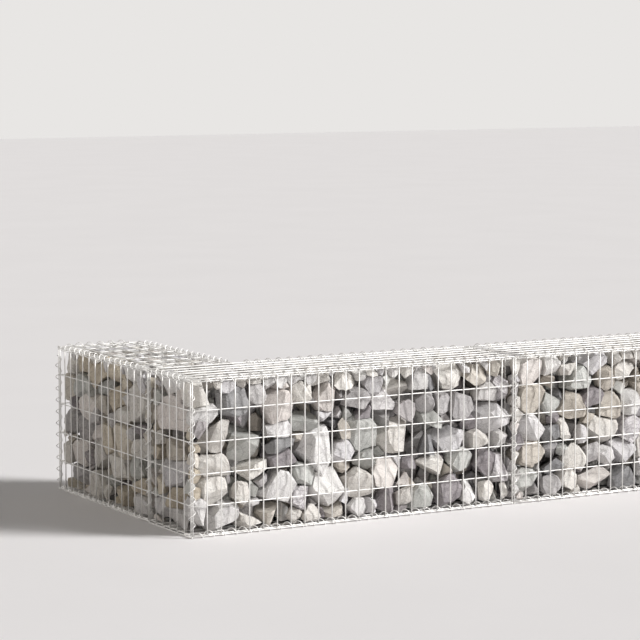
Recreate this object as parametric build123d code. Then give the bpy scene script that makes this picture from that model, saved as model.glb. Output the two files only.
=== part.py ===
from build123d import *
import math
import os
import numpy as np

# Gabion wall, an L-shaped corner of welded wire baskets filled with broken stone.
# A front run of two bays stands along X and a shorter return runs back from its left end.
# Every basket is made of flat mesh mats, laced along their edges with spiral binders.
# Millimetres, +Z up. The sizes below are in wall coordinates: X along the front run from its left
# end, Y back from the front face, Z up from the ground. The last step centres the whole on X and Y.

# Mesh
cell = 50.0                 # pitch of the closely spaced wires
cell_tall = 100.0           # pitch of the widely spaced wires
bar = 3.5                   # side of a square bar, the same steel section as a 4 mm round wire
weld_sink = 0.2             # how far crossing wires are pressed into each other at a weld
seat = 0.3                  # clearance between mats that are laced together

# Bays
bay_cells = 24              # cells along one bay of the front run
bay_count = 2
depth_cells = 6             # cells through the thickness of the wall
return_cells = 14           # cells along the return
height = 500.0              # ground to the top of the lid wires
corner_inset = 5.0          # outer plane of a mat to the first grid line beside it
seam_half_gap = 4.0         # seam to the edge wire of each front or rear mat
base_shift = 5.0            # the base mats' cross wires lie this far off the front mats' grid
lid_shift = 1.4             # the lids' long wires lie this far off the side mats' grid

# Spiral binders
spiral_wire = 2.8
spiral_radius = 10.1        # axis to the centre of the wire
spiral_pitch = 40.0
spiral_end = 16.0           # outer plane of a corner to the end of a spiral
ground_clear = 0.1

# Stone filling
fill_chamfer = 20.0         # the stones are rounded off beside the spirals

# Worked out from these
mat_thick = 2 * bar - weld_sink
layer_step = bar - weld_sink
inside = mat_thick + seat
bay_pitch = bay_cells * cell
length = 2 * corner_inset + bay_count * bay_pitch
thick = 2 * corner_inset + depth_cells * cell
return_front = thick + seat
return_back = return_front + bar / 2 + return_cells * cell + corner_inset
mat_low = inside
mat_high = height - inside
seams = [corner_inset + n * bay_pitch for n in range(1, bay_count)]
inner_radius = spiral_radius - spiral_wire / 2
outer_radius = spiral_radius + spiral_wire / 2
hug = inner_radius - seat   # farthest that a laced wire may lie from the axis of its spiral

X, Y, Z = 0, 1, 2


# A mat is a list of bars, each one a pair of corners. The outer layer's bars run along "run_axis"
# and are spaced along "step_axis". The inner layer crosses them.
def mat_bars(run_axis, step_axis, face, side, run_ends, step_ends, run_grid, step_grid):
    flat_axis = 3 - run_axis - step_axis
    outer = sorted([face, face + side * bar])
    inner = sorted([face + side * layer_step, face + side * mat_thick])
    bars = []
    for along, across, ends, limits, grid, layer in (
            (run_axis, step_axis, run_ends, step_ends, step_grid, outer),
            (step_axis, run_axis, step_ends, run_ends, run_grid, inner)):
        half = bar / 2
        for place in [limits[0] + half] + list(grid) + [limits[1] - half]:
            low = [0.0, 0.0, 0.0]
            high = [0.0, 0.0, 0.0]
            low[along], high[along] = ends
            low[across], high[across] = place - half, place + half
            low[flat_axis], high[flat_axis] = layer
            bars.append((tuple(low), tuple(high)))
    return bars


# Grid lines strictly inside two ends, counted from a first line
def grid_between(first, step, ends):
    lines = []
    place = first
    while place < ends[1] - step / 4:
        if place > ends[0] + step / 4:
            lines.append(place)
        place += step
    return lines


z_ends = (mat_low, mat_high)
z_grid = grid_between(0, cell_tall, (0, height))
x_first = corner_inset
y_first = corner_inset
return_first = return_front + bar / 2
return_ends = (return_front, return_back - corner_inset + bar / 2)
between = (inside, thick - inside)
y_grid = grid_between(y_first, cell, (0, thick))

mats = {}

# Front and rear mats, one a bay. The first rear mat stops inside the corner side mat.
run_start = corner_inset - bar / 2
bay_edges = []
for n in range(bay_count):
    left = run_start if n == 0 else seams[n - 1] + seam_half_gap - bar / 2
    right = length - run_start if n == bay_count - 1 else seams[n] - seam_half_gap + bar / 2
    bay_edges.append((left, right))
for n, (left, right) in enumerate(bay_edges):
    grid = grid_between(x_first, cell, (left, right))
    mats[f"bay_{n + 1}_front_mat"] = mat_bars(
        Z, X, 0, 1, z_ends, (left, right), z_grid, grid)
    rear_left = inside if n == 0 else left
    mats[f"bay_{n + 1}_rear_mat"] = mat_bars(
        Z, X, thick, -1, z_ends, (rear_left, right), z_grid, grid)

# Side mats of the front run
side_ends = (inside, thick - corner_inset + bar / 2)
mats["corner_side_mat"] = mat_bars(Z, Y, 0, 1, z_ends, side_ends, z_grid, y_grid)
mats["end_mat"] = mat_bars(Z, Y, length, -1, z_ends, between, z_grid, y_grid)
for n, seam in enumerate(seams):
    mats[f"partition_mat_{n + 1}"] = mat_bars(
        Z, Y, seam - mat_thick / 2, 1, z_ends, between, z_grid, y_grid)

# Side mats and back mat of the return, which is as thick as the front run
return_grid = grid_between(return_first, cell, return_ends)
mats["return_left_mat"] = mat_bars(Z, Y, 0, 1, z_ends, return_ends, z_grid, return_grid)
mats["return_inner_mat"] = mat_bars(Z, Y, thick, -1, z_ends, return_ends, z_grid, return_grid)
mats["return_back_mat"] = mat_bars(
    Z, X, return_back, -1, z_ends, between, z_grid, grid_between(x_first, cell, (0, thick)))

# Lids, with their long wires on top, and base mats, with their cross wires on the ground
for n, (left, right) in enumerate(bay_edges):
    ends = (0 if n == 0 else left, length if n == bay_count - 1 else right)
    cross = grid_between(x_first, cell_tall, ends)
    shift = lid_shift if n == bay_count - 1 else -lid_shift
    mats[f"bay_{n + 1}_lid_mat"] = mat_bars(
        X, Y, height, -1, ends, (0, thick), cross, [y + shift for y in y_grid])
    mats[f"bay_{n + 1}_base_mat"] = mat_bars(
        Y, X, 0, 1, (0, thick), ends, y_grid, [x + base_shift for x in cross])
lid_ends = (return_front, return_back)
cross = grid_between(return_first, cell_tall, lid_ends)
x_grid = grid_between(x_first, cell, (0, thick))
mats["return_lid_mat"] = mat_bars(
    Y, X, height, -1, lid_ends, (0, thick), cross, [x - lid_shift for x in x_grid])
mats["return_base_mat"] = mat_bars(
    X, Y, 0, 1, (0, thick), lid_ends, x_grid, [y + base_shift for y in cross])

all_bars = [pair for bars in mats.values() for pair in bars]
bar_low = np.array([pair[0] for pair in all_bars])
bar_high = np.array([pair[1] for pair in all_bars])

# Spirals. Each has the axis that it runs along, the place of its axis on the two other axes, and
# its two ends. A spiral lies close to the innermost wire that it laces, and bulges outward.
edge = bar / 2
lace = math.sqrt(hug ** 2 - edge ** 2)
corner_in = inside + bar - lace
top_axis = mat_high - bar + math.sqrt(hug ** 2 - (mat_thick - edge) ** 2)
bottom_axis = outer_radius + ground_clear
seam_in = inside + bar - math.sqrt(hug ** 2 - (mat_thick / 2) ** 2)
tee_axis = thick - bar + lace
upright = (mat_low + bar + spiral_wire / 2 + seat, mat_high - bar - spiral_wire / 2 - seat)

spirals = {
    "front_left_spiral": (Z, (edge, corner_in), upright),
    "front_right_spiral": (Z, (length - edge, corner_in), upright),
    "rear_right_spiral": (Z, (length - edge, thick - corner_in), upright),
    "return_joint_spiral": (Z, (corner_in, thick - edge), upright),
    "inner_corner_spiral": (Z, (thick - corner_inset, tee_axis), upright),
    "return_left_back_spiral": (Z, (corner_in, return_back - edge), upright),
    "return_inner_back_spiral": (Z, (thick - corner_in, return_back - edge), upright),
}
for n, seam in enumerate(seams):
    spirals[f"front_seam_spiral_{n + 1}"] = (Z, (seam, seam_in), upright)
    spirals[f"rear_seam_spiral_{n + 1}"] = (Z, (seam, thick - seam_in), upright)

stops = [0] + seams + [length]
for n in range(bay_count):
    whole = (stops[n] + spiral_end, stops[n + 1] - spiral_end)
    past_return = (thick + spiral_end, whole[1]) if n == 0 else whole
    for level, up in (("bottom", bottom_axis), ("top", top_axis)):
        spirals[f"bay_{n + 1}_front_{level}_spiral"] = (X, (edge, up), whole)
        spirals[f"bay_{n + 1}_rear_{level}_spiral"] = (X, (thick - edge, up), past_return)
across = (spiral_end, thick - spiral_end)
back = (thick + spiral_end, return_back - spiral_end)
spirals["corner_side_top_spiral"] = (Y, (edge, top_axis), across)
spirals["end_top_spiral"] = (Y, (length - edge, top_axis), across)
spirals["return_back_top_spiral"] = (X, (return_back - edge, top_axis), across)
for level, up in (("bottom", bottom_axis), ("top", top_axis)):
    spirals[f"return_left_{level}_spiral"] = (Y, (edge, up), back)
    spirals[f"return_inner_{level}_spiral"] = (Y, (thick - edge, up), back)


# Every spiral is wound the same way. On the Y axis the two other axes, X and Z, are left-handed.
def hand(axis):
    return -1 if axis == Y else 1


# The turn at which a spiral starts is chosen so that it passes midway between the crossing wires.
def start_turn(axis, place, ends):
    first, second = [a for a in (X, Y, Z) if a != axis]
    span = min(ends[1] - ends[0], 2 * cell_tall + spiral_pitch)
    along = np.arange(0, span, spiral_pitch / 48)
    trials = np.arange(0, 1, 1 / 160)
    angle = 2 * np.pi * (along[None, :] / spiral_pitch + trials[:, None])
    points = np.zeros(angle.shape + (3,))
    points[..., axis] = ends[0] + along
    points[..., first] = place[0] + spiral_radius * np.cos(angle)
    points[..., second] = place[1] + hand(axis) * spiral_radius * np.sin(angle)
    near = np.ones(len(all_bars), dtype=bool)
    reach = outer_radius + bar
    limits = [0, 0, 0]
    limits[axis] = (ends[0] - bar, ends[0] + span + bar)
    limits[first] = (place[0] - reach, place[0] + reach)
    limits[second] = (place[1] - reach, place[1] + reach)
    for a in (X, Y, Z):
        near &= (bar_high[:, a] > limits[a][0]) & (bar_low[:, a] < limits[a][1])
    near &= (bar_high[:, axis] - bar_low[:, axis]) < bar * 1.01
    least = np.full(len(trials), 1e9)
    for low, high in zip(bar_low[near], bar_high[near]):
        off = np.maximum(np.maximum(low - points, points - high), 0)
        least = np.minimum(least, np.sqrt((off ** 2).sum(axis=2)).min(axis=1))
    best = int(np.argmax(least))
    return trials[best], least[best] - spiral_wire / 2


# A spiral has as many whole turns as its ends allow, and sits midway between them.
def make_spiral(axis, place, ends):
    first, second = [a for a in (X, Y, Z) if a != axis]
    turns = int((ends[1] - ends[0]) // spiral_pitch)
    slack = (ends[1] - ends[0] - turns * spiral_pitch) / 2
    ends = (ends[0] + slack, ends[1] - slack)
    turn, clear = start_turn(axis, place, ends)
    one_turn = Edge.make_helix(spiral_pitch, spiral_pitch, spiral_radius)
    helix = Wire([Pos(0, 0, n * spiral_pitch) * one_turn for n in range(turns)])
    section = Plane(origin=helix @ 0, z_dir=helix % 0) * Circle(spiral_wire / 2)
    coil = sweep(section, path=helix, is_frenet=True)
    origin = [0.0, 0.0, 0.0]
    origin[axis] = ends[0]
    origin[first], origin[second] = place
    begin = [0.0, 0.0, 0.0]
    begin[first] = math.cos(2 * math.pi * turn)
    begin[second] = hand(axis) * math.sin(2 * math.pi * turn)
    run = [0.0, 0.0, 0.0]
    run[axis] = 1.0
    return Plane(origin=origin, x_dir=begin, z_dir=run) * coil, clear


def make_box(low, high):
    size = [b - a for a, b in zip(low, high)]
    middle = [(a + b) / 2 for a, b in zip(low, high)]
    return Pos(*middle) * Box(*size)


# Stone fillings, one to each basket, clear of its mats
fills = {}
for n in range(bay_count):
    left = inside if n == 0 else seams[n - 1] + mat_thick / 2 + seat
    right = length - inside if n == bay_count - 1 else seams[n] - mat_thick / 2 - seat
    fills[f"bay_{n + 1}_stone_fill"] = ((left, inside, mat_low), (right, thick - inside, mat_high))
fills["return_stone_fill"] = (
    (inside, return_front, mat_low), (thick - inside, return_back - inside, mat_high))

pieces = {}
for name, bars in mats.items():
    boxes = [make_box(low, high) for low, high in bars]
    pieces[name] = boxes[0] + boxes[1:]
for name, (axis, place, ends) in spirals.items():
    pieces[name], clear = make_spiral(axis, place, ends)
    print(f"{name}: {clear:.2f} mm clear of the crossing wires")
for name, (low, high) in fills.items():
    block = make_box(low, high)
    pieces[name] = chamfer(block.edges(), fill_chamfer)

# Centre the wall on X and Y, so that the origin lies on the ground in the middle of the whole
centre = Pos(-length / 2, -return_back / 2, 0)
os.makedirs("parts", exist_ok=True)
for name, piece in pieces.items():
    export_step(centre * piece, f"parts/{name}.step")
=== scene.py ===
# %% [markdown]
# # A gabion wall
# A gabion is a basket of welded steel mesh, filled by hand with broken stone. This lesson
# dresses a measured model of one: an L-shaped garden wall, two bays long, with a short return
# at its left end. The measured model is loaded first and never moved, so that everything made
# here has a place to go.

# %% Load the frame
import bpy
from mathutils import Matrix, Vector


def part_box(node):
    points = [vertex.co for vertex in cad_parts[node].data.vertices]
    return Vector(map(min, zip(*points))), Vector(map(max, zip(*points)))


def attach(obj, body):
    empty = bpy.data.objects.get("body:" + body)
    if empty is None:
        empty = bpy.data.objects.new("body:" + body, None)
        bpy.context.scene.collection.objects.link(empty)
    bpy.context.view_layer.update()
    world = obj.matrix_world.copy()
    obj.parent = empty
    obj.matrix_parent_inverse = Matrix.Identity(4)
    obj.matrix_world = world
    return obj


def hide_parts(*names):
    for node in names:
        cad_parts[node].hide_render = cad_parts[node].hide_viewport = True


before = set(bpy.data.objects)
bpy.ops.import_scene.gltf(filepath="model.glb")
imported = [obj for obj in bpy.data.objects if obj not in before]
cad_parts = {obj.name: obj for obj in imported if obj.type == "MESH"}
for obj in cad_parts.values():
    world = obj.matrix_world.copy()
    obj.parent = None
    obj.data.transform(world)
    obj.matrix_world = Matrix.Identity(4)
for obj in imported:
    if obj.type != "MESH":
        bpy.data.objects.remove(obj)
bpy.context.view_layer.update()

# %% Libraries
import itertools
import math
import random

import bpy
import numpy as np
from mathutils import Vector, noise

# %% [markdown]
# ## Wall coordinates
# The frame's origin is in the middle of the wall. A mason measures from the front left corner
# instead, in millimetres: along the front, back from it, and up. Everything below is placed
# that way, and one small function turns such a place into the frame's metres.

# %% Wall coordinates
MM = 0.001
X, Y, Z = 0, 1, 2
front_left = Vector((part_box("corner_side_mat")[0][X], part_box("bay_1_front_mat")[0][Y], 0.0))


def wall(x, y, z):
    return front_left + Vector((x, y, z)) * MM


def wall_box(node):
    low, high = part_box(node)
    return ([(low[a] - front_left[a]) / MM for a in range(3)],
            [(high[a] - front_left[a]) / MM for a in range(3)])


print("front run:", round(wall_box("bay_2_lid_mat")[1][X]), "mm long,",
      round(wall_box("bay_1_lid_mat")[1][Y]), "mm thick,",
      round(wall_box("bay_1_lid_mat")[1][Z]), "mm high")

# %% [markdown]
# ## The camera
# The photograph looks along the wall from its left end, from about eight metres away with a
# long lens, and slightly down. A first camera, with its picture shifted, was fitted to 99
# places of wires read from the photograph. This one, with no shift, was fitted to the
# first. The wires made below miss the 99 readings by 0.55 pixels (root mean square), and by 1.2
# at most.

# %% The camera
camera = bpy.data.objects.new("camera", bpy.data.cameras.new("camera"))
bpy.context.scene.collection.objects.link(camera)
camera.location = wall(-3494.7, -6937.9, 1539.5)
looking_down, looking_right = 6.278, 29.678
camera.rotation_euler = (math.radians(90 - looking_down), 0, math.radians(-looking_right))
camera.data.sensor_width = 36
camera.data.lens = 142.4
camera.data.clip_end = 60
bpy.context.scene.camera = camera
print("camera:", [round(c, 2) for c in camera.location], "lens", camera.data.lens)

# %% [markdown]
# ## A mesh from lists
# Wires and stones are both made by code that fills lists of corners and faces. This helper
# turns such lists into an object that rides on the wall's one rigid body.

# %% A mesh from lists
def make_piece(name, corners, faces, materials, face_materials=None):
    mesh = bpy.data.meshes.new(name)
    mesh.from_pydata([tuple(c) for c in corners], [], [tuple(f) for f in faces])
    for material in materials:
        mesh.materials.append(material)
    if face_materials is not None:
        mesh.polygons.foreach_set("material_index", face_materials)
    mesh.polygons.foreach_set("use_smooth", [True] * len(mesh.polygons))
    piece = bpy.data.objects.new(name, mesh)
    bpy.context.scene.collection.objects.link(piece)
    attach(piece, "root")
    return piece


def triangles(piece):
    return sum(len(p.vertices) - 2 for p in piece.data.polygons)


def corner_places(mesh, what="co"):
    numbers = np.empty(len(mesh.vertices) * 3)
    mesh.vertices.foreach_get(what, numbers)
    return numbers.reshape(-1, 3)


# %% [markdown]
# ## Words for shader nodes
# A procedural material is a net of nodes. Wiring one by hand takes many lines, so a small class
# gives each common step a word: a noise, cells, a ramp, a mix, a sum and a bump. Colours are
# written as a paint shop would, from 0 to 255, and turned into the linear values Blender wants.

# %% Words for shader nodes
def colour(red, green, blue):
    parts = [c / 255 for c in (red, green, blue)]
    return [c / 12.92 if c < 0.04045 else ((c + 0.055) / 1.055) ** 2.4 for c in parts] + [1.0]


class Nodes:
    """A few words for wiring shader nodes."""

    def __init__(self, name):
        self.material = bpy.data.materials.new(name)
        self.material.use_nodes = True
        self.tree = self.material.node_tree
        self.shader = self.tree.nodes["Principled BSDF"]
        self.place = self.add("ShaderNodeTexCoord").outputs["Object"]

    def add(self, kind, **settings):
        node = self.tree.nodes.new(kind)
        for key, value in settings.items():
            setattr(node, key, value)
        return node

    def link(self, source, target):
        self.tree.links.new(source, target)

    def noise(self, scale, detail=4.0, roughness=0.5, distortion=0.0):
        node = self.add("ShaderNodeTexNoise")
        node.inputs["Scale"].default_value = scale
        node.inputs["Detail"].default_value = detail
        node.inputs["Roughness"].default_value = roughness
        node.inputs["Distortion"].default_value = distortion
        self.link(self.place, node.inputs["Vector"])
        return node.outputs["Fac"]

    def cells(self, scale, feature="F1", place=None):
        node = self.add("ShaderNodeTexVoronoi", feature=feature)
        node.inputs["Scale"].default_value = scale
        self.link(place or self.place, node.inputs["Vector"])
        return node

    def jolted(self, amount):
        shake = self.add("ShaderNodeTexNoise")
        shake.inputs["Scale"].default_value = 45.0
        self.link(self.place, shake.inputs["Vector"])
        node = self.add("ShaderNodeVectorMath", operation="MULTIPLY_ADD")
        self.link(shake.outputs["Color"], node.inputs[0])
        node.inputs[1].default_value = (amount,) * 3
        self.link(self.place, node.inputs[2])
        return node.outputs["Vector"]

    def ramp(self, source, low, high, start=0.0, end=1.0):
        node = self.add("ShaderNodeMapRange")
        node.inputs["From Min"].default_value = low
        node.inputs["From Max"].default_value = high
        node.inputs["To Min"].default_value = start
        node.inputs["To Max"].default_value = end
        self.link(source, node.inputs["Value"])
        return node.outputs["Result"]

    def mix(self, factor, first, second, blend="MIX"):
        node = self.add("ShaderNodeMix", data_type="RGBA", blend_type=blend)
        if isinstance(factor, float):
            node.inputs[0].default_value = factor
        else:
            self.link(factor, node.inputs[0])
        for socket, value in ((node.inputs[6], first), (node.inputs[7], second)):
            if isinstance(value, list):
                socket.default_value = value
            else:
                self.link(value, socket)
        return node.outputs[2]

    def sum(self, first, second, operation="ADD"):
        node = self.add("ShaderNodeMath", operation=operation)
        for socket, value in zip(node.inputs, (first, second)):
            if isinstance(value, (int, float)):
                socket.default_value = value
            else:
                self.link(value, socket)
        return node.outputs[0]

    def attribute(self, name):
        return self.add("ShaderNodeAttribute", attribute_name=name).outputs["Fac"]

    def bump(self, height, distance, strength=1.0):
        node = self.add("ShaderNodeBump")
        node.inputs["Distance"].default_value = distance
        node.inputs["Strength"].default_value = strength
        self.link(height, node.inputs["Height"])
        self.link(node.outputs["Normal"], self.shader.inputs["Normal"])


# %% [markdown]
# ## Galvanised steel
# Hot-dip zinc is a pale, fairly rough metal. Its crystals give a faint mottling a few
# millimetres across, and weathered patches are duller. Cells drive the mottling, and a broad
# noise the patches.

# %% Galvanised steel
def galvanised(name, bright, dull):
    n = Nodes(name)
    spangle = n.cells(420.0).outputs["Distance"]
    patches = n.noise(14.0, 5.0)
    tone = n.mix(n.ramp(patches, 0.4, 0.62), bright, dull)
    n.link(n.mix(n.ramp(spangle, 0.1, 0.8, 0.0, 0.35), tone, dull), n.shader.inputs["Base Color"])
    n.shader.inputs["Metallic"].default_value = 0.75
    n.link(n.ramp(patches, 0.3, 0.7, 0.48, 0.66), n.shader.inputs["Roughness"])
    n.bump(n.noise(900.0, 3.0), 0.0002, 0.5)
    return n.material


mesh_steel = galvanised("galvanised_mesh_wire", colour(241, 240, 238), colour(220, 219, 217))
spiral_steel = galvanised("galvanised_spiral_wire", colour(243, 242, 240), colour(224, 223, 221))
print("steel materials:", mesh_steel.name, spiral_steel.name)

# %% [markdown]
# ## Round wire
# The measured model has square bars, which are quick to join. Real mesh wire is drawn round,
# about 4 mm thick. A tube is rings of corners along a path. The rings of a straight wire need
# few sides, because the wire is only a pixel or two wide in a picture of the whole wall.

# %% Round wire
def add_tube(corners, faces, path, radius, sides=8):
    path = np.asarray(path, dtype=float)
    run = np.gradient(path, axis=0)
    run /= np.linalg.norm(run, axis=1)[:, None]
    first = np.cross(run[0], (0.31, 0.77, 0.55))
    start = len(corners)
    turn = np.arange(sides) * 2 * np.pi / sides
    for point, along in zip(path, run):
        first = first - along * first.dot(along)
        first /= np.linalg.norm(first)
        second = np.cross(along, first)
        ring = point + radius * (np.cos(turn)[:, None] * first + np.sin(turn)[:, None] * second)
        corners.extend(ring)
    for step in range(len(path) - 1):
        base = start + step * sides
        for side in range(sides):
            following = (side + 1) % sides
            faces.append((base + side, base + following,
                          base + sides + following, base + sides + side))
    last = start + (len(path) - 1) * sides
    faces.append(tuple(range(start + sides - 1, start - 1, -1)))
    faces.append(tuple(range(last, last + sides)))


# %% [markdown]
# ## Weld spots
# Where two wires cross they are pressed together while hot, and a little steel squeezes out
# around the joint. Each crossing gets a small flattened bead.

# %% Weld spots
def add_bead(corners, faces, centre, flat_axis, width, depth, sides=6):
    start = len(corners)
    across = [a for a in (X, Y, Z) if a != flat_axis]
    tip = np.zeros(3)
    tip[flat_axis] = depth
    corners.append(centre - tip)
    rim = 0.87 * width
    for level in (-0.5, 0.5):
        for side in range(sides):
            angle = 2 * math.pi * side / sides
            corner = np.array(centre, dtype=float)
            corner[flat_axis] += level * depth
            corner[across[0]] += rim * math.cos(angle)
            corner[across[1]] += rim * math.sin(angle)
            corners.append(corner)
    corners.append(centre + tip)
    end = start + 1 + 2 * sides
    for side in range(sides):
        following = (side + 1) % sides
        low, high = start + 1, start + 1 + sides
        faces.append((start, low + following, low + side))
        faces.append((low + side, low + following, high + following, high + side))
        faces.append((end, high + side, high + following))


# %% [markdown]
# ## The mats
# Each mat has two layers of wire. The outer layer's wires run one way and the inner layer's
# cross behind them. On an upright mat the outer wires stand 50 mm apart and the level ones lie
# 100 mm apart. Hand-made baskets aren't perfect, so every wire is a touch out of line.

# %% The mats
bar = 3.5
wire_radius = 1.9
layer_step = 3.3
close, wide = 50.0, 100.0
grid_start = 5.0
return_start = wall_box("return_left_mat")[0][Y] + bar / 2
lid_shift = 1.4
base_shift = 5.0
out_of_line = 0.35
bend_every = 60
bead_width, bead_depth = 2.6, 1.5
wobble = random.Random(11)


def grid_lines(first, step, low, high):
    lines = [low + bar / 2]
    place = first
    while place < high - step / 4:
        if place > low + step / 4:
            lines.append(place)
        place += step
    return lines + [high - bar / 2]


def wire_path(along, across, flat_axis, place, depth, ends):
    lean = wobble.uniform(-out_of_line, out_of_line)
    count = max(3, int((ends[1] - ends[0]) / bend_every))
    path = []
    for share in np.linspace(0, 1, count):
        point = [0.0, 0.0, 0.0]
        point[along] = ends[0] + share * (ends[1] - ends[0])
        point[across] = place + lean * math.sin(math.pi * share)
        point[flat_axis] = depth
        path.append(wall(*point))
    return path


def dress_mat(node, run, across, outer_side, across_grid, run_grid):
    low, high = wall_box(node)
    flat_axis = 3 - run - across
    face = low[flat_axis] if outer_side < 0 else high[flat_axis]
    outer = face - outer_side * bar / 2
    inner = outer - outer_side * layer_step
    corners, faces = [], []
    across_lines = grid_lines(*across_grid, low[across], high[across])
    run_lines = grid_lines(*run_grid, low[run], high[run])
    for place in across_lines:
        add_tube(corners, faces, wire_path(run, across, flat_axis, place, outer,
                                           (low[run], high[run])), wire_radius * MM)
    for place in run_lines:
        add_tube(corners, faces, wire_path(across, run, flat_axis, place, inner,
                                           (low[across], high[across])), wire_radius * MM)
    for a, b in itertools.product(across_lines, run_lines):
        point = [0.0, 0.0, 0.0]
        point[across], point[run] = a, b
        point[flat_axis] = (outer + inner) / 2
        add_bead(corners, faces, np.array(wall(*point)), flat_axis,
                 bead_width * MM, bead_depth * MM)
    piece = make_piece(node + "_wires", corners, faces, [mesh_steel])
    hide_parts(node)
    return triangles(piece)


level_grid = (0.0, wide)
front_grid = (grid_start, close)
back_grid = (return_start, close)
mats = [
    ("bay_1_front_mat", Z, X, -1, front_grid, level_grid),
    ("bay_2_front_mat", Z, X, -1, front_grid, level_grid),
    ("bay_1_rear_mat", Z, X, 1, front_grid, level_grid),
    ("bay_2_rear_mat", Z, X, 1, front_grid, level_grid),
    ("corner_side_mat", Z, Y, -1, front_grid, level_grid),
    ("partition_mat_1", Z, Y, -1, front_grid, level_grid),
    ("end_mat", Z, Y, 1, front_grid, level_grid),
    ("return_left_mat", Z, Y, -1, back_grid, level_grid),
    ("return_inner_mat", Z, Y, 1, back_grid, level_grid),
    ("return_back_mat", Z, X, 1, front_grid, level_grid),
    ("bay_1_lid_mat", X, Y, 1, (grid_start - lid_shift, close), (grid_start, wide)),
    ("bay_2_lid_mat", X, Y, 1, (grid_start + lid_shift, close), (grid_start, wide)),
    ("return_lid_mat", Y, X, 1, (grid_start - lid_shift, close), (return_start, wide)),
    ("bay_1_base_mat", Y, X, -1, (grid_start + base_shift, wide), front_grid),
    ("bay_2_base_mat", Y, X, -1, (grid_start + base_shift, wide), front_grid),
    ("return_base_mat", X, Y, -1, (return_start + base_shift, wide), front_grid),
]
print("mats:", len(mats), "with", sum(dress_mat(*row) for row in mats), "triangles")

# %% [markdown]
# ## The spiral binders
# A long coil of wire is screwed through the edge wires of two mats to lace them together. Every
# coil of the measured model is wound the same way. Its first turn is read from the model's own
# coil, by averaging the angle of its corners, so that the round wire lies exactly where the
# coil is. The ends of a real binder are bent inward with pliers so that they don't catch.

# %% The spiral binders
spiral_pitch = 40.0
spiral_wire = 2.8
steps_a_turn = 18
coil_sides = 7
curl_turns, curl_depth = 0.45, 0.5


def dress_spiral(node):
    low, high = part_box(node)
    axis = max((X, Y, Z), key=lambda a: high[a] - low[a])
    first, second = (axis + 1) % 3, (axis + 2) % 3
    centre = (low + high) / 2
    radius = (high[first] - low[first]) / 2 - spiral_wire / 2 * MM
    place = corner_places(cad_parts[node].data) - np.array(centre)
    spin = np.arctan2(place[:, second], place[:, first])
    spin -= 2 * np.pi * place[:, axis] / (spiral_pitch * MM)
    begin = math.atan2(np.sin(spin).mean(), np.cos(spin).mean())
    half = (high[axis] - low[axis]) / 2 - spiral_wire / 2 * MM
    turns = 2 * half / (spiral_pitch * MM)
    path = []
    for share in np.linspace(0, 1, int(turns * steps_a_turn)):
        along = (2 * share - 1) * half
        to_end = turns * min(share, 1 - share)
        pull = 1 - curl_depth * max(0.0, 1 - to_end / curl_turns) ** 2
        angle = begin + 2 * math.pi * along / (spiral_pitch * MM)
        point = [0.0, 0.0, 0.0]
        point[axis] = along
        point[first] = radius * pull * math.cos(angle)
        point[second] = radius * pull * math.sin(angle)
        path.append(centre + Vector(point))
    corners, faces = [], []
    add_tube(corners, faces, path, spiral_wire / 2 * MM, coil_sides)
    piece = make_piece(node + "_wire", corners, faces, [spiral_steel])
    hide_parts(node)
    return triangles(piece)


spirals = sorted(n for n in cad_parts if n.endswith("_spiral") or "_spiral_" in n)
print("spirals:", len(spirals), "with", sum(dress_spiral(n) for n in spirals), "triangles")

# %% [markdown]
# ## Kinds of stone
# The filling is broken quarry stone of mixed colour. Each kind has two tones that a broad noise
# blends, a vein tone laid along its own bedding, fine crystals, and a rough broken surface. Two
# numbers that each stone carries, its tint and its bedding, make no two stones of a kind alike.

# %% Kinds of stone
def stone_material(name, tone, second, vein, veins=0.35, crystals=0.2):
    n = Nodes("stone_" + name)
    tint = n.attribute("tint")
    bed = n.attribute("bed")
    broad = n.noise(26.0, 6.0, 0.6, 0.4)
    fine = n.noise(230.0, 5.0, 0.65)
    base = n.mix(n.ramp(broad, 0.38, 0.62), tone, second)
    wave = n.add("ShaderNodeMath", operation="SINE")
    n.link(n.sum(n.sum(bed, n.sum(broad, 5.0, "MULTIPLY")), 6.283, "MULTIPLY"), wave.inputs[0])
    layers = n.ramp(wave.outputs[0], 0.35, 1.0, 0.0, veins)
    base = n.mix(layers, base, vein)
    grain = n.cells(520.0)
    base = n.mix(n.ramp(grain.outputs["Distance"], 0.0, 0.7, crystals, 0.0), base,
                 colour(250, 248, 246))
    base = n.mix(n.ramp(fine, 0.35, 0.7, 0.3, 0.0), base, colour(104, 97, 94), "MULTIPLY")
    base = n.mix(n.ramp(tint, -1.0, 0.0, 0.28, 0.0), base, colour(156, 151, 150), "MULTIPLY")
    base = n.mix(n.ramp(tint, 0.0, 1.0, 0.0, 0.26), base, colour(250, 247, 241))
    crack = n.cells(24.0, "DISTANCE_TO_EDGE", n.jolted(0.02))
    base = n.mix(n.ramp(crack.outputs["Distance"], 0.0, 0.035, 0.3, 0.0), base,
                 colour(96, 90, 88), "MULTIPLY")
    n.link(base, n.shader.inputs["Base Color"])
    n.link(n.ramp(fine, 0.3, 0.7, 0.62, 0.9), n.shader.inputs["Roughness"])
    n.bump(n.sum(n.sum(broad, 1.6, "MULTIPLY"), n.sum(fine, 0.7, "MULTIPLY")), 0.005, 0.85)
    return n.material


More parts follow.
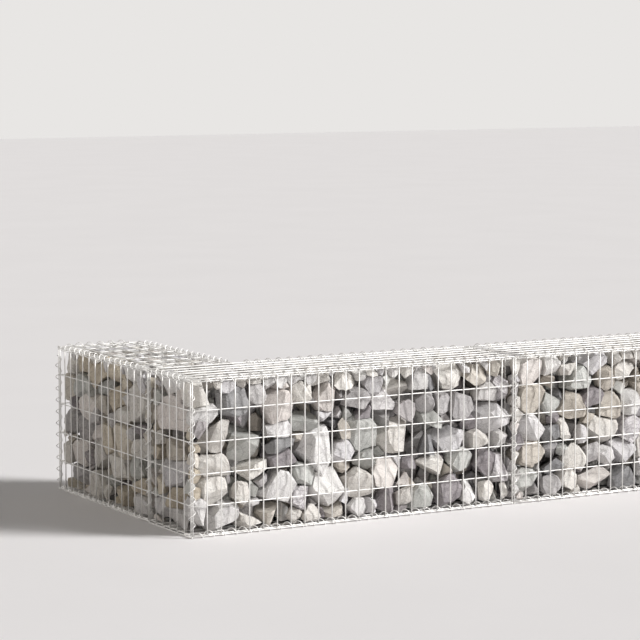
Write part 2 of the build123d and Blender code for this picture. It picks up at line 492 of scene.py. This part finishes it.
kind_tones = {
    "cream": ((242, 239, 233), (230, 225, 218), (248, 245, 241)),
    "white": ((245, 244, 242), (235, 233, 233), (249, 248, 247), 0.3, 0.5),
    "lilac": ((236, 234, 236), (222, 220, 223), (244, 242, 243)),
    "pink": ((243, 236, 231), (231, 223, 218), (247, 243, 240)),
    "brown": ((212, 204, 192), (193, 184, 172), (228, 221, 211)),
    # tan lies only along the left end: its warmth paints warm reflected light into the shade
    # there.
    "tan": ((226, 214, 193), (207, 194, 173), (238, 230, 215)),
    "green": ((211, 212, 208), (193, 195, 191), (228, 229, 225)),
    "grey": ((204, 201, 201), (182, 179, 180), (225, 222, 221)),
    "purple": ((166, 159, 163), (142, 136, 140), (197, 190, 192)),
    "slate": ((146, 146, 148), (124, 124, 127), (172, 172, 174)),
    "striped": ((239, 236, 237), (222, 218, 221), (160, 153, 160), 0.7),
}
kinds = {name: stone_material(name, *(colour(*tone) for tone in row[:3]), *row[3:])
         for name, row in kind_tones.items()}
kind_names = list(kinds)
common_kinds = (["cream"] * 6 + ["white"] * 3 + ["lilac"] * 5 + ["pink"] * 3 + ["brown"] * 4
                + ["green"] * 3 + ["grey"] * 4 + ["purple"] * 2 + ["slate"] + ["striped"])
# Pale kinds for stones against the lid: painted sunlight on the top of the wall.
painted_sunlit_top_kinds = ["cream"] * 4 + ["white"] * 5 + ["lilac"] * 2 + ["pink"] * 1
# Darker kinds for stones thrown in loose among the others: painted shade in the hollows between
# stones.
painted_shade_inner_kinds = (["grey"] * 4 + ["brown"] * 3 + ["green"] * 2 + ["purple"] * 3 + ["lilac"] * 2
               + ["slate"])
# Warm kinds for the left end, which lies in shade: painted warm reflected light.
painted_warm_bounce_kinds = ["tan"] * 4 + ["brown"] * 3 + ["cream"] * 2 + ["pink"] * 2 + ["green"] * 2
print("kinds of stone:", ", ".join(kind_names))

# %% [markdown]
# ## Where the stones lie
# A mason packs the face of a gabion by hand, with the flattest side of each stone against the
# mesh, and throws the rest in behind. The stones of the front face that the photograph shows
# are listed here: their middle along the wall and up it, half their width and height
# in millimetres, and their kind. The stones of the left side are listed in the same way, front
# to back.

# %% Stones of the front face
# Some slate and purple stones here are stones of that dark colour. Others stand for stones
# further back, seen in shade through gaps; they are set at the face, and their dark kind paints
# that shade.
front_stones = [
    (50, 454, 56, 45, "cream"), (50, 384, 56, 25, "white"), (106, 301, 100, 60, "cream"),
    (168, 419, 52, 54, "slate"), (241, 436, 29, 32, "grey"), (236, 353, 28, 43, "grey"),
    (328, 389, 58, 51, "pink"), (410, 426, 38, 30, "cream"), (502, 406, 54, 45, "pink"),
    (415, 348, 44, 45, "green"), (324, 313, 54, 25, "lilac"), (319, 269, 56, 19, "slate"),
    (337, 228, 67, 33, "purple"), (485, 254, 70, 72, "white"), (83, 222, 65, 38, "cream"),
    (234, 201, 65, 20, "cream"), (90, 138, 55, 42, "cream"), (188, 126, 22, 28, "cream"),
    (326, 130, 63, 46, "white"), (414, 166, 42, 32, "green"), (500, 118, 59, 59, "white"),
    (32, 71, 28, 55, "white"), (125, 55, 66, 38, "white"), (225, 33, 48, 22, "cream"),
    (304, 54, 42, 38, "brown"), (408, 89, 37, 38, "striped"), (382, 34, 24, 22, "cream"),
    (437, 34, 24, 22, "cream"), (561, 453, 43, 29, "cream"), (617, 393, 43, 27, "grey"),
    (676, 433, 34, 29, "lilac"), (714, 380, 49, 37, "striped"), (761, 417, 51, 52, "cream"),
    (842, 439, 29, 57, "white"), (962, 445, 57, 45, "cream"), (1064, 445, 45, 38, "brown"),
    (1149, 468, 40, 27, "brown"), (872, 372, 37, 28, "grey"), (801, 347, 38, 28, "purple"),
    (938, 364, 29, 35, "grey"), (1013, 349, 45, 48, "grey"), (1179, 399, 46, 43, "striped"),
    (1113, 370, 44, 30, "grey"), (1135, 292, 66, 47, "lilac"), (788, 254, 90, 64, "cream"),
    (638, 278, 71, 57, "green"), (561, 231, 43, 32, "lilac"), (968, 238, 62, 40, "lilac"),
    (1070, 225, 39, 28, "cream"), (1157, 217, 44, 30, "white"), (651, 194, 40, 32, "green"),
    (712, 141, 51, 39, "pink"), (890, 137, 54, 34, "cream"), (1009, 162, 45, 36, "green"),
    (1105, 143, 36, 45, "purple"), (1169, 122, 56, 47, "striped"), (634, 121, 64, 36, "cream"),
    (788, 116, 28, 28, "pink"), (861, 54, 48, 31, "green"), (736, 57, 30, 36, "purple"),
    (790, 61, 30, 28, "cream"), (962, 62, 49, 35, "purple"), (1042, 68, 31, 48, "white"),
    (1103, 55, 30, 25, "cream"), (1180, 43, 38, 27, "cream"), (612, 31, 30, 22, "white"),
    (1283, 450, 59, 52, "pink"), (1373, 463, 35, 37, "white"), (1447, 442, 39, 28, "cream"),
    (1554, 462, 69, 30, "lilac"), (1490, 400, 70, 31, "green"), (1598, 398, 32, 44, "brown"),
    (1680, 415, 45, 36, "cream"), (1283, 346, 59, 45, "brown"), (1363, 329, 26, 32, "green"),
    (1463, 300, 54, 38, "brown"), (1545, 335, 50, 26, "purple"), (1612, 300, 52, 52, "brown"),
    (1695, 310, 38, 38, "white"), (1289, 243, 65, 40, "lilac"), (1375, 223, 35, 24, "slate"),
    (1436, 232, 58, 32, "cream"), (1586, 230, 79, 32, "cream"), (1281, 165, 57, 39, "brown"),
    (1379, 120, 37, 24, "slate"), (1467, 132, 47, 34, "cream"), (1542, 144, 32, 46, "grey"),
    (1598, 126, 33, 28, "lilac"), (1670, 139, 46, 36, "lilac"), (1265, 66, 42, 39, "green"),
    (1379, 53, 32, 35, "grey"), (1449, 64, 45, 30, "cream"), (1561, 51, 67, 36, "pink"),
    (1678, 55, 51, 33, "slate"),
]
corner_side_stones = [
    (195, 464, 88, 26, "white"), (190, 356, 110, 58, "pink"), (185, 250, 62, 30, "brown"),
    (175, 187, 105, 41, "lilac"), (150, 97, 85, 28, "tan"), (135, 35, 62, 28, "grey"),
    (265, 60, 45, 40, "lilac"),
]
return_side_stones = [
    (728, 437, 72, 37, "tan"), (595, 452, 68, 32, "tan"), (461, 470, 62, 24, "white"),
    (694, 381, 95, 20, "green"), (833, 317, 62, 30, "pink"), (691, 333, 55, 26, "brown"),
    (586, 360, 48, 40, "tan"), (425, 378, 68, 66, "cream"), (547, 316, 50, 24, "cream"),
    (648, 290, 50, 16, "grey"), (878, 235, 66, 42, "grey"), (750, 230, 48, 24, "pink"),
    (553, 238, 64, 48, "tan"), (418, 222, 66, 26, "cream"),
    (880, 148, 68, 42, "pink"), (728, 147, 62, 36, "cream"), (602, 135, 68, 44, "cream"),
    (441, 156, 86, 38, "green"), (885, 66, 62, 30, "grey"), (748, 55, 66, 34, "cream"),
    (668, 26, 50, 20, "cream"), (558, 58, 62, 40, "tan"), (403, 97, 74, 24, "tan"),
    (403, 38, 76, 34, "lilac"), (974, 255, 58, 66, "grey"), (976, 125, 56, 70, "cream"),
    (978, 32, 54, 34, "tan"), (850, 455, 55, 32, "tan"), (966, 450, 66, 44, "cream"),
    (870, 385, 62, 34, "green"), (972, 362, 58, 52, "brown"),
]
print("stones set out by hand:", len(front_stones) + len(corner_side_stones)
      + len(return_side_stones))

# %% [markdown]
# ## Filling the baskets
# The rest of each basket is filled by throwing stones in and keeping each one that has room.
# Most are pushed against a side first, as a mason does, and large ones go in before small ones.
# Along the faces whose stones are listed, the first few centimetres are left to those stones.

# %% A stone and its room
rng = np.random.default_rng(29)
closeness = 0.82


class Stone:
    def __init__(self, centre, radii, kind, shown=False, chips=0):
        self.centre = np.array(centre, dtype=float)
        self.radii = np.array(radii, dtype=float)
        self.kind = kind
        self.shown = shown
        self.chips = chips


def reach(radii, direction):
    return np.sqrt(((radii * direction) ** 2).sum(axis=-1))


def has_room(centre, radii, stones):
    apart = np.array([s.centre for s in stones]) - centre
    away = np.linalg.norm(apart, axis=1)
    direction = apart / away[:, None]
    theirs = reach(np.array([s.radii for s in stones]), direction)
    return (away > closeness * (theirs + reach(radii, direction))).all()


# %% [markdown]
# A stone's kind depends on where it lands. Against the lid it is pale, which paints sunlight on
# the top; along the left end it is warmer, which paints warm reflected light into the shade; and
# thrown in loose among the others it is darker, which paints shade into the hollows. A throw
# that lands among the listed stones, or where there is no room, is given up.

# %% Throwing stones in
set_out_to = 1740
kept_clear = 50
tuck = 0.78
lid_band, lid_touch = 40, 12
warm_bounce_band = 120


def throw(box, stones, sizes, tries, against, clear=kept_clear):
    low, high = (np.array(c) for c in box)
    for _ in range(tries):
        radii = rng.uniform(*sizes) * rng.permutation((1.2, 1.0, 0.8))
        inset = tuck * radii
        centre = rng.uniform(low + inset, high - inset)
        if against == "side":
            axis = rng.integers(3)
            centre[axis] = rng.choice((low[axis] + inset[axis], high[axis] - inset[axis]))
        elif against == "lid":
            centre[Z] = high[Z] - inset[Z]
        elif against == "edge":
            for axis in rng.permutation(3)[:2]:
                centre[axis] = rng.choice((low[axis], high[axis]))
            centre = np.clip(centre, low + inset, high - inset)
        to_end = min(centre[Y] - low[Y], high[Y] - centre[Y])
        set_out = ((centre[Y] < clear and centre[X] < set_out_to) or centre[X] < clear)
        in_corner = to_end + centre[X] - low[X] < 2 * clear
        under_lid = centre[Z] + radii[Z] > high[Z] - lid_band
        if set_out and not (in_corner or under_lid):
            continue
        if has_room(centre, radii, stones):
            choice = common_kinds
            # Against the lid a pale kind: painted sunlight on the top.
            if centre[Z] + radii[Z] > high[Z] - lid_touch:
                choice = painted_sunlit_top_kinds
            # Thrown in loose, a darker kind: painted shade in the hollows.
            elif against == "inside":
                choice = painted_shade_inner_kinds
            # Along the left end a warm kind: painted warm reflected light in the shade.
            elif centre[X] < low[X] + warm_bounce_band and low[X] < 10:
                choice = painted_warm_bounce_kinds
            kind = choice[rng.integers(len(choice))]
            stones.append(Stone(centre, radii, kind, chips=4 if against == "side" else 0))


# %% [markdown]
# Each basket takes the listed stones first. Those at the bottom are stretched down to
# the base mat, so that they don't hang above it. Then come large, middling and small stones
# along the sides, some for the inside, and at last many small ones for the hollows.

# %% The three baskets
on_base = 24
baskets = {}
for basket, sideways in (("bay_1", corner_side_stones), ("bay_2", []),
                         ("return", return_side_stones)):
    box = wall_box(basket + "_stone_fill")
    stones = []
    for x, z, half_width, half_height, kind in front_stones:
        if basket != "return" and box[0][X] < x < box[1][X]:
            if z - half_height < on_base:
                top = z + half_height
                z, half_height = (top + box[0][Z]) / 2, (top - box[0][Z]) / 2
            depth = rng.uniform(0.8, 1.0) * (half_width + half_height) / 2 + 8
            centre = (x, box[0][Y] + 0.85 * depth, z)
            stones.append(Stone(centre, (half_width, depth, half_height), kind, True, 10))
    for y, z, half_width, half_height, kind in sideways:
        depth = rng.uniform(0.7, 0.9) * (half_width + half_height) / 2 + 8
        centre = (box[0][X] + 0.85 * depth, y, z)
        stones.append(Stone(centre, (depth, half_width, half_height), kind, True, 10))
    set_out = len(stones)
    for sizes, tries in (((50, 60), 2500), ((38, 50), 3000), ((26, 38), 3000)):
        throw(box, stones, sizes, tries, "side")
    for sizes, tries in (((45, 60), 1200), ((28, 45), 2500)):
        throw(box, stones, sizes, tries, "inside")
    for against, tries in (("inside", 5000), ("lid", 2500), ("edge", 1500), ("side", 2500)):
        throw(box, stones, (17, 28), tries, against, kept_clear * 0.7)
    baskets[basket] = (box, stones)
    print(basket, "holds", len(stones), "stones,", set_out, "of them set out by hand")

# %% [markdown]
# ## The shape of a broken stone
# Broken stone has flat faces and sharp edges. One way to get them is to cut a lump with planes:
# some are the stone's own breaks, in all directions, some keep it behind the mesh, and one lies
# between it and each of its nearest neighbours. The corners of the lump are then every point
# where three planes meet inside all the others. Nineteen neighbours are looked at, and the
# roughness is added after the cuts, so about eleven hundred pairs of stones still run into each
# other.

# %% The shape of a broken stone
gap = 1.5
merge = 2.5
triples = {}


def lump(normals, offsets):
    count = len(offsets)
    if count not in triples:
        triples[count] = np.array(list(itertools.combinations(range(count), 3)))
    threes = triples[count]
    planes = normals[threes]
    solid = np.abs(np.linalg.det(planes)) > 1e-3
    points = np.linalg.solve(planes[solid], offsets[threes[solid]][..., None])[..., 0]
    points = points[((points @ normals.T) <= offsets + 1e-6).all(axis=1)]
    kept = []
    for point in points:
        if all(np.abs(point - k).max() > merge for k in kept):
            kept.append(point)
    if len(kept) < 4:
        return None
    kept = np.array(kept)
    owner = [int(np.argmin(((kept - p) ** 2).sum(axis=1))) for p in points]
    faces = []
    for normal, offset in zip(normals, offsets):
        on = sorted({owner[i] for i, p in enumerate(points) if abs(p @ normal - offset) < 1e-5})
        if len(on) < 3:
            continue
        side = np.cross(normal, (0.3, 0.5, 0.81))
        side /= np.linalg.norm(side)
        up = np.cross(normal, side)
        middle = kept[on].mean(axis=0)
        on.sort(key=lambda i: math.atan2((kept[i] - middle) @ up, (kept[i] - middle) @ side))
        faces.append(on)
    return kept, faces


def unit(vector):
    return vector / np.linalg.norm(vector)


# %% [markdown]
# Each stone's own breaks face all ways round, evenly spread and then shaken. A stone that was
# thrown in is drawn a little larger than the room it was given, so that its neighbours cut it
# to fit.

# %% Breaks and neighbours
breaks = 9
break_shake = 0.28
break_depth = (0.8, 1.06)
grown = 1.2
shown_grown = 1.18
behind_wire = 5.5
beside_spiral = 11.0
spare = 5
edge_axes = ((X, Y), (Y, Z), (Z, X))
edge_sides = ((-1, -1), (-1, 1), (1, -1), (1, 1))
golden = math.pi * (3 - math.sqrt(5))


def own_breaks(radii):
    spin = np.linalg.qr(rng.normal(size=(3, 3)))[0]
    height = 1 - 2 * (np.arange(breaks) + 0.5) / breaks
    ring = np.sqrt(1 - height ** 2)
    angle = golden * np.arange(breaks)
    ways = np.stack((ring * np.cos(angle), ring * np.sin(angle), height), axis=1) @ spin.T
    ways += rng.normal(scale=break_shake, size=ways.shape)
    ways /= np.linalg.norm(ways, axis=1)[:, None]
    return list(ways), list(reach(radii, ways) * rng.uniform(*break_depth, breaks))


def side_cuts(stone, box):
    normals, offsets = [], []
    for axis in (X, Y, Z):
        for sign in (-1, 1):
            room = sign * (box[sign > 0][axis] - stone.centre[axis])
            if room < stone.radii[axis] * 1.3:
                flat = np.zeros(3)
                flat[axis] = sign
                tilted = unit(flat + rng.normal(scale=0.3, size=3))
                normals += [flat, tilted]
                room -= behind_wire
                offsets += [room, room * abs(tilted[axis]) * rng.uniform(0.86, 1.0)]
    for (a, b), (side_a, side_b) in itertools.product(edge_axes, edge_sides):
        room = (side_a * (box[side_a > 0][a] - stone.centre[a])
                + side_b * (box[side_b > 0][b] - stone.centre[b]) - beside_spiral - spare)
        if room < 1.3 * (stone.radii[a] + stone.radii[b]):
            slant = np.zeros(3)
            slant[[a, b]] = side_a, side_b
            normals.append(slant / math.sqrt(2))
            offsets.append(room / math.sqrt(2))
    return normals, offsets


# %% [markdown]
# Corners break off first. A few of each outer stone's corners are cut by one more plane each,
# set back by a small share of the stone's size.

# %% Chipped corners
chip_depth = (0.05, 0.17)
chip_shake = 0.4


def chipped(stone, shape, normals, offsets):
    corners = shape[0]
    for corner in corners[rng.permutation(len(corners))[:stone.chips]]:
        normal = unit(unit(corner) + rng.normal(scale=chip_shake, size=3))
        normals.append(normal)
        offsets.append(corner @ normal - rng.uniform(*chip_depth) * stone.radii.mean())
    return lump(np.array(normals), np.array(offsets)) or shape


# %% [markdown]
# Two neighbours share one slightly tilted plane, and each stays a little behind it. A listed
# stone mostly keeps its shape, and a thrown one beside it gives way. Stones are placed
# and not dropped, so some of them rest on nothing.

# %% Stones cut to fit
neighbours = 19
near = 1.25
gives_way = 0.4
joint_tilt = 0.13


def shape_stones(box, stones):
    centres = np.array([s.centre for s in stones])
    sizes = np.array([s.radii * (shown_grown if s.shown else grown) for s in stones])
    leans = {}
    shapes = []
    for i, stone in enumerate(stones):
        normals, offsets = own_breaks(sizes[i])
        more_normals, more_offsets = side_cuts(stone, box)
        normals += more_normals
        offsets += more_offsets
        away = np.linalg.norm(centres - stone.centre, axis=1)
        for j in np.argsort(away)[1:1 + neighbours]:
            direction = (centres[j] - stone.centre) / away[j]
            mine, theirs = reach(sizes[i], direction), reach(sizes[j], direction)
            if away[j] > near * (mine + theirs):
                continue
            pair = (min(i, j), max(i, j))
            if pair not in leans:
                leans[pair] = rng.normal(scale=joint_tilt, size=3)
            normal = unit(direction + (leans[pair] if i < j else -leans[pair]))
            cut = away[j] * mine / (mine + theirs)
            if stone.shown and not stones[j].shown:
                cut = max(cut, min(mine, away[j] - gives_way * theirs))
            if stones[j].shown and not stone.shown:
                cut = min(cut, away[j] - min(theirs, away[j] - gives_way * mine))
            normals.append(normal)
            offsets.append(cut * (direction @ normal) - gap)
        shape = lump(np.array(normals), np.array(offsets))
        if shape is not None:
            shape = chipped(stone, shape, normals, offsets)
        shapes.append(shape)
    return shapes


# %% [markdown]
# ## Rough faces
# A lump's flat faces are divided into small ones, and noise pushes their corners in and out by
# a few millimetres. Stones that show close to the camera are divided more than those deep
# inside. Edges that turn by more than 24 degrees stay crisp, and the rest is shaded smooth.

# %% Rough faces
rough_large, rough_small = 4.2, 2.2
rough_scale = 16
fine_times = 5
sharp_turn = 24


def inside_basket(place, box):
    place = np.clip(place, *box)
    for (a, b), (side_a, side_b) in itertools.product(edge_axes, edge_sides):
        room = (side_a * (box[side_a > 0][a] - place[:, a])
                + side_b * (box[side_b > 0][b] - place[:, b]))
        push = np.maximum(0, beside_spiral * MM - room) / 2
        place[:, a] -= side_a * push
        place[:, b] -= side_b * push
    return place


# %% [markdown]
# All stones of a group become one mesh. Each corner remembers its stone, so that after dividing
# it can be pushed by that stone's own noise and can carry that stone's tint and bedding.

# %% A piece of rough stones
def divided(plain, level):
    if level:
        divide = plain.modifiers.new("divide", "SUBSURF")
        divide.subdivision_type = "SIMPLE"
        divide.levels = divide.render_levels = level
    bpy.context.view_layer.update()
    shape = plain.evaluated_get(bpy.context.evaluated_depsgraph_get())
    return bpy.data.meshes.new_from_object(shape)


def rough_piece(name, box, stones, shapes, numbers, level, node):
    corners, faces, owners, face_kinds = [], [], [], []
    for i in numbers:
        points, polygons = shapes[i]
        start = len(corners)
        corners.extend(wall(*(p + stones[i].centre)) for p in points)
        owners.extend([i] * len(points))
        faces.extend([start + k for k in polygon] for polygon in polygons)
        face_kinds.extend([kind_names.index(stones[i].kind)] * len(polygons))
    plain = make_piece(name + "_plain", corners, faces, list(kinds.values()), face_kinds)
    attribute = plain.data.attributes.new("owner", "FLOAT", "POINT")
    attribute.data.foreach_set("value", [float(o) for o in owners])
    mesh = divided(plain, level)
    mesh.name = name
    count = len(mesh.vertices)
    place = corner_places(mesh)
    outward = corner_places(mesh, "normal")
    owner = np.empty(count)
    mesh.attributes["owner"].data.foreach_get("value", owner)
    owner = np.rint(owner).astype(int)
    beds = rng.normal(size=(len(stones), 3))
    beds /= np.linalg.norm(beds, axis=1)[:, None]
    bands = rng.uniform(14, 40, len(stones))
    tints = rng.uniform(-1, 1, len(stones))
    shift = rng.uniform(-9, 9, (len(stones), 3))
    push = np.empty(count)
    for k in range(count):
        point = Vector(place[k]) * rough_scale + Vector(shift[owner[k]])
        push[k] = (rough_large * noise.fractal(point, 0.9, 2.1, 3)
                   + rough_small * noise.fractal(point * fine_times, 0.8, 2.2, 3))
    place += outward * push[:, None] * MM
    place = inside_basket(place, [np.array(wall(*c)) for c in box])
    mesh.vertices.foreach_set("co", place.ravel())
    mesh.attributes.remove(mesh.attributes["owner"])
    tint = mesh.attributes.new("tint", "FLOAT", "POINT")
    tint.data.foreach_set("value", tints[owner])
    bed = mesh.attributes.new("bed", "FLOAT", "POINT")
    bed.data.foreach_set("value", ((place / MM) * beds[owner]).sum(axis=1) / bands[owner])
    mesh.update()
    mesh.set_sharp_from_angle(angle=math.radians(sharp_turn))
    bpy.data.objects.remove(plain)
    piece = bpy.data.objects.new(name, mesh)
    bpy.context.scene.collection.objects.link(piece)
    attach(piece, "root")
    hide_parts(node)
    print(name, "has", len(numbers), "stones and", triangles(piece), "triangles")
    return triangles(piece)


# %% [markdown]
# Listed stones and the larger ones along the other sides are divided twice, small ones
# once, and hidden ones once or not at all. That keeps every piece under two hundred thousand
# triangles.

# %% Rough stones of every basket
outermost = 1.4
deep = 90
large = 33


def group_of(stone, box):
    if stone.shown:
        half = "left" if stone.centre[X] < (box[0][X] + box[1][X]) / 2 else "right"
        return f"face_{half}", 2
    to_side = min(min(stone.centre - box[0]), min(np.array(box[1]) - stone.centre))
    mean = stone.radii.mean()
    if to_side > mean * outermost:
        return "core", 0 if to_side > deep else 1
    return ("outer", 2) if mean > large else ("small", 1)


stone_triangles = 0
for basket, (box, stones) in baskets.items():
    shapes = shape_stones(box, stones)
    groups = {}
    for i, stone in enumerate(stones):
        if shapes[i] is not None:
            groups.setdefault(group_of(stone, box), []).append(i)
    for (group, level), numbers in sorted(groups.items()):
        name = f"{basket}_{group}_stones_{level}"
        stone_triangles += rough_piece(name, box, stones, shapes, numbers, level,
                                       basket + "_stone_fill")
print("all stones:", stone_triangles, "triangles")

# %% [markdown]
# ## The floor
# The wall stands on a plain pale floor. It is a stage and not part of the wall, and lies a hair
# below it so that the lowest wires don't cut into it.

# %% The floor
def make_floor():
    n = Nodes("pale_floor")
    cloudy = n.ramp(n.noise(1.5, 3.0), 0.3, 0.7)
    n.link(n.mix(cloudy, colour(239, 237, 238), colour(241, 239, 240)),
           n.shader.inputs["Base Color"])
    n.shader.inputs["Roughness"].default_value = 0.9
    n.shader.inputs["Specular IOR Level"].default_value = 0.2
    mesh = bpy.data.meshes.new("floor")
    span, below = 30.0, -0.0002
    mesh.from_pydata([(-span, -span, below), (span, -span, below),
                      (span, span, below), (-span, span, below)], [], [(0, 1, 2, 3)])
    mesh.materials.append(n.material)
    floor = bpy.data.objects.new("floor", mesh)
    bpy.context.scene.collection.objects.link(floor)
    return floor


print("floor:", make_floor().name)

# %% [markdown]
# ## The lamps
# One broad lamp, far off at the right, stands in for the sun. It grazes the front, so each
# stone's right-hand faces are bright and its left-hand ones are in shade. A weak warm glow from
# the left fills that shade.

# %% The lamps
def far_lamp(name, toward, energy, spread, tone):
    lamp = bpy.data.objects.new(name, bpy.data.lights.new(name, "SUN"))
    lamp.rotation_euler = Vector(toward).to_track_quat("Z", "Y").to_euler()
    lamp.data.energy = energy
    lamp.data.angle = math.radians(spread)
    lamp.data.color = tone
    bpy.context.scene.collection.objects.link(lamp)


far_lamp("sun", (0.72, -0.56, 0.48), 4.1, 18, (1.0, 0.993, 0.985))
far_lamp("glow_from_the_left", (-0.8, -0.32, 0.5), 0.47, 50, (1.0, 0.93, 0.82))
print("lamps:", len(bpy.data.lights))

# %% [markdown]
# ## The world
# An even pale world lights the wall faintly from all sides. The camera and the shiny wires see
# it brighter than it lights the stones, which makes the background pale.

# %% The world
world = bpy.data.worlds.new("studio")
bpy.context.scene.world = world
world.use_nodes = True
tree = world.node_tree
lighting = tree.nodes["Background"]
lighting.inputs["Color"].default_value = colour(243, 242, 240)
lighting.inputs["Strength"].default_value = 0.18
seen = tree.nodes.new("ShaderNodeBackground")
seen.inputs["Color"].default_value = colour(232, 230, 228)
seen.inputs["Strength"].default_value = 1.0
rays = tree.nodes.new("ShaderNodeLightPath")
total = rays.outputs["Is Camera Ray"]
for ray in ("Is Glossy Ray", "Is Transmission Ray"):
    either = tree.nodes.new("ShaderNodeMath")
    either.operation = "MAXIMUM"
    tree.links.new(total, either.inputs[0])
    tree.links.new(rays.outputs[ray], either.inputs[1])
    total = either.outputs[0]
choose = tree.nodes.new("ShaderNodeMixShader")
tree.links.new(total, choose.inputs[0])
tree.links.new(lighting.outputs[0], choose.inputs[1])
tree.links.new(seen.outputs[0], choose.inputs[2])
tree.links.new(choose.outputs[0], tree.nodes["World Output"].inputs["Surface"])
bpy.context.scene.view_settings.view_transform = "Standard"
print("world:", world.name)
